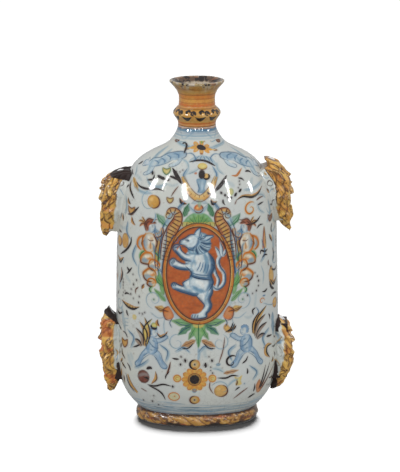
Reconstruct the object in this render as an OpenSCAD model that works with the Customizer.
// Pilgrim flask: a flattened ceramic bottle on an oval foot, with a round
// collared neck and four side lugs. Each lug has a strap hole behind a
// press-moulded mask. Frame: millimetres, +Z up, +X to the viewer's right,
// the viewer looks along +Y. The origin is on the table, under the neck.

/* [Body] */
// Width of the body across its two side seams
body_w = 160; // [150:1:170]
// Thickness of the flattened body from front to back
body_d = 109; // [102:1:116]
// Squareness of the oval cross-section, where 2 is a plain ellipse
body_n = 2.12; // [2:0.02:2.3]

/* [Foot] */
// Width of the oval foot ring at its widest
foot_w = 121; // [114:1:126]
// Height of the foot ring
foot_h = 12; // [10:1:14]
// Thickness of the slab that closes the bottom
floor_t = 6; // [5:0.5:8]

/* [Neck and mouth] */
// Radius of the throat, the bore that a cork goes into
throat_r = 11.5; // [9:0.5:13]
// Largest radius of the collar round the neck
collar_r = 23; // [20:0.5:25]
// Outer radius of the mouth at its lip
lip_r = 26.5; // [24:0.5:29]
// Height of the lip above the table
flask_h = 340; // [336:1:346]

/* [Strap lugs] */
// Radius of the hole that the carrying cord runs through
strap_r = 3; // [2:0.25:3.25]
// Half width of a lug where it meets the mask
lug_hw = 14; // [12:0.5:15]

/* [Masks] */
// Half width of a mask at its cheeks
mask_hw = 20; // [18:0.5:22]
// Height of the facial relief, as a share of the usual one
relief = 1; // [0.7:0.05:1.15]

/* [Hidden] */

GLAZE = "#d6dbd8";
OCHRE = "#c8872f";

STEPS = 48;                       // columns round the body
DA = 360 / STEPS;
kx = body_w / 160;                // scale of the widths in the tables below
ky = body_d / 109;
shoulder_z0 = 242;                // where the wall ends and the shoulder begins
neck_z0 = 284;                    // where the shoulder ends and the neck begins
collar_z0 = 296;
mouth_z0 = 316;

// Outside of the shell: height, half width, half thickness
OUTER = [[foot_h, 56, 38.1], [15.5, 60.1, 40.9], [21, 65.2, 44.4], [28, 70.2, 47.8], [38, 75, 51.1], [54, 78.5, 53.4],
         [78, 80, 54.5], [150, 79.2, 53.9], [204, 77.6, 52.8], [230, 74, 50.4], [242, 70.2, 47.8], [252, 64.8, 45.2],
         [261, 58, 41.8], [268, 48.8, 37.2], [273.5, 37.8, 31.4], [278.5, 28.6, 26.5], [neck_z0, 23.6, 23.6]];
// Inside of the shell
INNER = [[foot_h, 46, 30.2], [20, 56.6, 37.3], [34, 66.6, 43.6], [64, 73, 47.6], [150, 72.7, 47.4], [212, 70, 45.6],
         [238, 63.4, 41.3], [253, 53.2, 35.5], [264, 39.8, 28.2], [273, 25, 21.2], [neck_z0, 17.5, 17.5]];

// Squareness fades to a circle over the shoulder
function squareness(z) = let(t = max(0, min(1, (z - 250) / 34))) body_n + (2 - body_n) * t;
function signed_pow(v, p) = sign(v) * pow(abs(v), p);
function section(row, t) = let(p = 2 / squareness(row[0]))
    [kxz(row) * row[1] * signed_pow(cos(t), p), kyz(row) * row[2] * signed_pow(sin(t), p), row[0]];
// The width and thickness settings act on the body and not on the neck
function fade(z) = max(0, min(1, (neck_z0 - z) / 60));
function kxz(row) = 1 + (kx - 1) * fade(row[0]);
function kyz(row) = 1 + (ky - 1) * fade(row[0]);
// A row of a table at any height
function row_at(tab, z, i = 0) = z <= tab[i + 1][0] || i + 2 >= len(tab)
    ? let(t = (z - tab[i][0]) / (tab[i + 1][0] - tab[i][0])) tab[i] + t * (tab[i + 1] - tab[i])
    : row_at(tab, z, i + 1);

// Half of the shell between two heights, from the seam at angle a0 round to a0 + 180
module half_shell(a0, z0, z1) {
    n = STEPS / 2;
    rows = [for (r = OUTER) if (r[0] >= z0 && r[0] <= z1) r];
    m = len(rows);
    w = n + 1;
    b = m * w;                    // first inner point
    t = (m - 1) * w;              // first point of the top row
    pts = concat([for (r = rows, i = [0:n]) section(r, a0 + i * DA)],
                 [for (r = rows, i = [0:n]) section(row_at(INNER, r[0]), a0 + i * DA)]);
    walls = [for (j = [0:m - 2], i = [0:n - 1]) let(p = j * w + i) each
        [[p, p + w + 1, p + 1], [p, p + w, p + w + 1], [b + p, b + p + 1, b + p + w + 1], [b + p, b + p + w + 1, b + p + w]]];
    rims = [for (i = [0:n - 1]) each
        [[i, i + 1, b + i + 1], [i, b + i + 1, b + i], [t + i, b + t + i + 1, t + i + 1], [t + i, b + t + i, b + t + i + 1]]];
    // The two flat seam faces
    seams = [for (j = [0:m - 2]) let(p = j * w, q = p + n) each
        [[p, b + p + w, p + w], [p, b + p, b + p + w], [q, q + w, b + q + w], [q, b + q + w, b + q]]];
    polyhedron(pts, concat(walls, rims, seams), convexity = 6);
}

// The tall wall and the domed shoulder over it, in front and at the back
module front_wall() { color(GLAZE) half_shell(180, foot_h, shoulder_z0); }
module back_wall() { color(GLAZE) half_shell(0, foot_h, shoulder_z0); }
module front_shoulder() { color(GLAZE) half_shell(180, shoulder_z0, neck_z0); }
module back_shoulder() { color(GLAZE) half_shell(0, shoulder_z0, neck_z0); }

// Oval outline through the same columns as the shell
function oval(a, b) = [for (i = [0:STEPS - 1])
    [a * kx * signed_pow(cos(i * DA), 2 / body_n), b * ky * signed_pow(sin(i * DA), 2 / body_n)]];
SLAB_A = 49.5;
SLAB_B = 33;

module base_slab() {
    color(GLAZE) translate([0, 0, foot_h - floor_t]) linear_extrude(floor_t) polygon(oval(SLAB_A, SLAB_B));
}

// Foot: a fat rounded ring under the rim of the shell and round the slab
FOOT = [[0, -4.2], [1, -2.4], [2.6, -0.9], [5, 0], [7.4, -0.3], [9.6, -1.6], [foot_h, -4.4]];
module foot_ring() {
    m = len(FOOT);
    fa = foot_w / 2 / kx;
    fb = fa - 18.8;
    // The rounded outside, then the upright inside that holds the slab
    lv = concat([for (f = FOOT) [f[0], fa + f[1], fb + f[1]]], [[foot_h, SLAB_A, SLAB_B], [0, SLAB_A, SLAB_B]]);
    k = len(lv);
    pts = [for (r = lv, q = oval(r[1], r[2])) [q[0], q[1], r[0]]];
    faces = [for (j = [0:k - 1], i = [0:STEPS - 1]) let(a = j * STEPS, b = ((j + 1) % k) * STEPS, q = (i + 1) % STEPS)
        each [[a + i, b + q, a + q], [a + i, b + i, b + q]]];
    color(OCHRE) polyhedron(pts, faces, convexity = 4);
}

module turned(p) { rotate_extrude($fn = 96) polygon(p); }

module neck() {
    color(GLAZE) turned([[17.5, neck_z0], [23.6, neck_z0], [21.6, 287], [20, 290.2], [18.9, 293.2], [18.4, collar_z0],
                         [throat_r, collar_z0], [throat_r, 291], [13.4, 288.4]]);
}

module neck_collar() {
    c = collar_r;
    color(OCHRE) turned([[throat_r, collar_z0], [18.7, collar_z0], [18.5, 298.6], [19, 300.6], [c - 2.8, 303.4], [c - 0.9, 305.8],
                         [c, 308], [c - 0.6, 310.2], [c - 2.5, 312.4], [18.8, 314.6], [17.8, mouth_z0], [throat_r, mouth_z0]]);
}

module mouth_flare() {
    l = lip_r;
    h = flask_h;
    color(OCHRE) turned([[throat_r, mouth_z0], [17.8, mouth_z0], [17.4, 319], [17.4, 323], [17.8, 326], [l - 7.2, 330],
                         [l - 4.2, 334], [l - 1.4, h - 3], [l - 0.2, h - 1.6], [l - 0.4, h - 0.5], [l - 1.8, h], [l - 3.4, h - 0.5],
                         [l - 5, h - 2.4], [l - 8.6, h - 7.5], [throat_r + 2.6, 327.4], [throat_r, 324]]);
}

// One lug for each mask: [side, block bottom, block top, hole x at the bottom, hole lean per mm of height]
LUG_UL = [-1, 192, 246, 84.9, 0.17];
LUG_UR = [1, 203, 254, 83.03, 0.17];
LUG_LL = [-1, 42, 100, 84.8, 0];
LUG_LR = [1, 43, 99, 84.8, 0];
SKIN = 1.5;                       // clay between the hole and the mask
function hole_x(lug, z) = lug[3] + (kx - 1) * 80 - lug[4] * (z - lug[1]);
function plane_x(lug, z) = hole_x(lug, z) + strap_r + 0.1 + SKIN;

// The block lies on the shell's own facets, so they meet face to face
module lug_block(lug) {
    z0 = lug[1];
    z1 = lug[2];
    lv = concat([z0], [for (r = OUTER) if (r[0] > z0 + 0.5 && r[0] < z1 - 0.5) r[0]], [z1]);
    cols = [-2, -1, 0, 1, 2];
    w = 7;                        // points in a level: five on the shell and two on the mask's plane
    pts = [for (z = lv) let(r = row_at(OUTER, z), x = plane_x(lug, z), hw = lug_hw * (0.6 + 0.4 * min(1, (z - z0) / 22)))
        each concat([for (c = cols) section(r, c * DA)], [[x, hw, z], [x, -hw, z]])];
    n = len(lv);
    walls = [for (j = [0:n - 2], i = [0:w - 1]) let(q = (i + 1) % w)
        each [[j * w + i, (j + 1) * w + i, (j + 1) * w + q], [j * w + i, (j + 1) * w + q, j * w + q]]];
    lids = [[for (i = [0:w - 1]) i], [for (i = [w - 1:-1:0]) (n - 1) * w + i]];
    polyhedron(pts, concat(walls, lids), convexity = 3);
}

module strap_lug(lug) {
    lean = atan(lug[4]);
    color(GLAZE) mirror([lug[0] < 0 ? 1 : 0, 0, 0]) difference() {
        lug_block(lug);
        translate([hole_x(lug, lug[1]), 0, lug[1]]) rotate([0, -lean, 0]) translate([0, 0, -20])
            cylinder(h = lug[2] - lug[1] + 40, r = strap_r, $fn = 48);
    }
}

module strap_lug_upper_left() { strap_lug(LUG_UL); }
module strap_lug_upper_right() { strap_lug(LUG_UR); }
module strap_lug_lower_left() { strap_lug(LUG_LL); }
module strap_lug_lower_right() { strap_lug(LUG_LR); }

// Masks. Each is a relief over a spine: [side, foot of the beard, top of the hair, spine points [height share, x],
// how far the back keeps to the lug's plane under the lug]
MASK_UL = [-1, 184, 252, [[0, 88.5], [0.12, 92.5], [0.3, 92.5], [0.55, 92.5], [0.75, 90], [0.9, 86], [1, 80.5]], 5];
MASK_UR = [1, 190, 263, [[0, 91.5], [0.12, 91], [0.3, 91.5], [0.5, 90.5], [0.7, 88], [0.85, 84.5], [1, 78]], 14];
MASK_LL = [-1, 25, 112, [[0, 83.5], [0.12, 88.5], [0.3, 92.6], [0.55, 93.4], [0.75, 93], [0.9, 91.5], [1, 90]], 5];
MASK_LR = [1, 26, 108, [[0, 83], [0.12, 87.5], [0.3, 92], [0.55, 93.4], [0.75, 92.4], [0.9, 90.8], [1, 89.6]], 5];

function lookup2(tab, s, i = 0) = s <= tab[i + 1][0] || i + 2 >= len(tab)
    ? tab[i][1] + (s - tab[i][0]) / (tab[i + 1][0] - tab[i][0]) * (tab[i + 1][1] - tab[i][1])
    : lookup2(tab, s, i + 1);
function bump(u, s, u0, s0, wu, ws) = exp(-pow((u - u0) / wu, 2) - pow((s - s0) / ws, 2));
// Relief in mm at u across (-1 to 1) and s up (0 to 1)
function face(u, s) = relief * (
      4.6 * bump(u, s, 0, 0.5, 0.2, 0.06) + 3.4 * bump(u, s, 0, 0.6, 0.15, 0.1)
    + 2.2 * bump(abs(u), s, 0.36, 0.69, 0.24, 0.035) - 2.4 * bump(abs(u), s, 0.36, 0.615, 0.17, 0.04)
    + 1.5 * bump(abs(u), s, 0.36, 0.615, 0.11, 0.022) + 2.4 * bump(abs(u), s, 0.52, 0.5, 0.2, 0.08)
    + 2.2 * bump(abs(u), s, 0.22, 0.425, 0.2, 0.028) - 1.6 * bump(u, s, 0, 0.39, 0.2, 0.014)
    + 1.6 * bump(u, s, 0, 0.365, 0.16, 0.018) + 2.6 * bump(u, s, 0, 0.27, 0.3, 0.07)
    + 2 * bump(u, s, 0, 0.76, 0.6, 0.07) + 3.2 * bump(abs(u), s, 0.42, 0.88, 0.26, 0.07));
function sidefall(u) = 7.5 * pow(abs(u), 3.2);

// Outline: the beard ends in a point and the hair is parted
function z_low(m, u) = m[1] + (m[2] - m[1]) * 0.46 * pow(abs(u), 1.5);
function z_high(m, u) = m[2] - (m[2] - m[1]) * (0.2 * pow(abs(u), 2.6) + 0.05 * exp(-pow(u / 0.16, 2)));

module mask(m, lug) {
    nu = 16;
    nv = 20;
    h = m[2] - m[1];
    grid = [for (j = [0:nv], i = [0:nu]) let(u = -1 + 2 * i / nu, zl = z_low(m, u), z = zl + (z_high(m, u) - zl) * j / nv)
        [u, z, (z - m[1]) / h]];
    // The back lies on the lug's plane. Beside it and under it, the back follows the front
    on = [for (g = grid) abs(g[0]) * mask_hw <= lug_hw + 2.6 && g[1] > lug[1] - m[4]];
    front = [for (k = [0:len(grid) - 1]) let(g = grid[k],
            f = lookup2(m[3], g[2]) + (kx - 1) * 80 + face(g[0], g[2]) - sidefall(g[0]))
        [on[k] ? max(f, plane_x(lug, g[1]) + 1.6) : f, g[0] * mask_hw, g[1]]];
    back = [for (k = [0:len(grid) - 1]) let(g = grid[k], f = front[k][0])
        [on[k] ? plane_x(lug, g[1]) : min(f - 2.2, max(lookup2(m[3], g[2]) + (kx - 1) * 80 - 4.5 - 0.4 * sidefall(g[0]), f - 9)),
         g[0] * mask_hw, g[1]]];
    w = nu + 1;
    b = len(grid);
    ff = [for (j = [0:nv - 1], i = [0:nu - 1]) each
        [[j * w + i, (j + 1) * w + i + 1, j * w + i + 1], [j * w + i, (j + 1) * w + i, (j + 1) * w + i + 1]]];
    bf = [for (t = ff) [b + t[0], b + t[2], b + t[1]]];
    rim = concat([for (i = [0:nu]) i], [for (j = [1:nv]) j * w + nu], [for (i = [nu - 1:-1:0]) nv * w + i], [for (j = [nv - 1:-1:1]) j * w]);
    e = len(rim);
    sides = [for (i = [0:e - 1]) let(p = rim[i], q = rim[(i + 1) % e]) each [[p, q, b + q], [p, b + q, b + p]]];
    color(OCHRE) mirror([m[0] < 0 ? 1 : 0, 0, 0]) polyhedron(concat(front, back), concat(ff, bf, sides), convexity = 8);
}

module mask_upper_left() { mask(MASK_UL, LUG_UL); }
module mask_upper_right() { mask(MASK_UR, LUG_UR); }
module mask_lower_left() { mask(MASK_LL, LUG_LL); }
module mask_lower_right() { mask(MASK_LR, LUG_LR); }

front_wall();
back_wall();
front_shoulder();
back_shoulder();
base_slab();
foot_ring();
neck();
neck_collar();
mouth_flare();
strap_lug_upper_left();
strap_lug_upper_right();
strap_lug_lower_left();
strap_lug_lower_right();
mask_upper_left();
mask_upper_right();
mask_lower_left();
mask_lower_right();
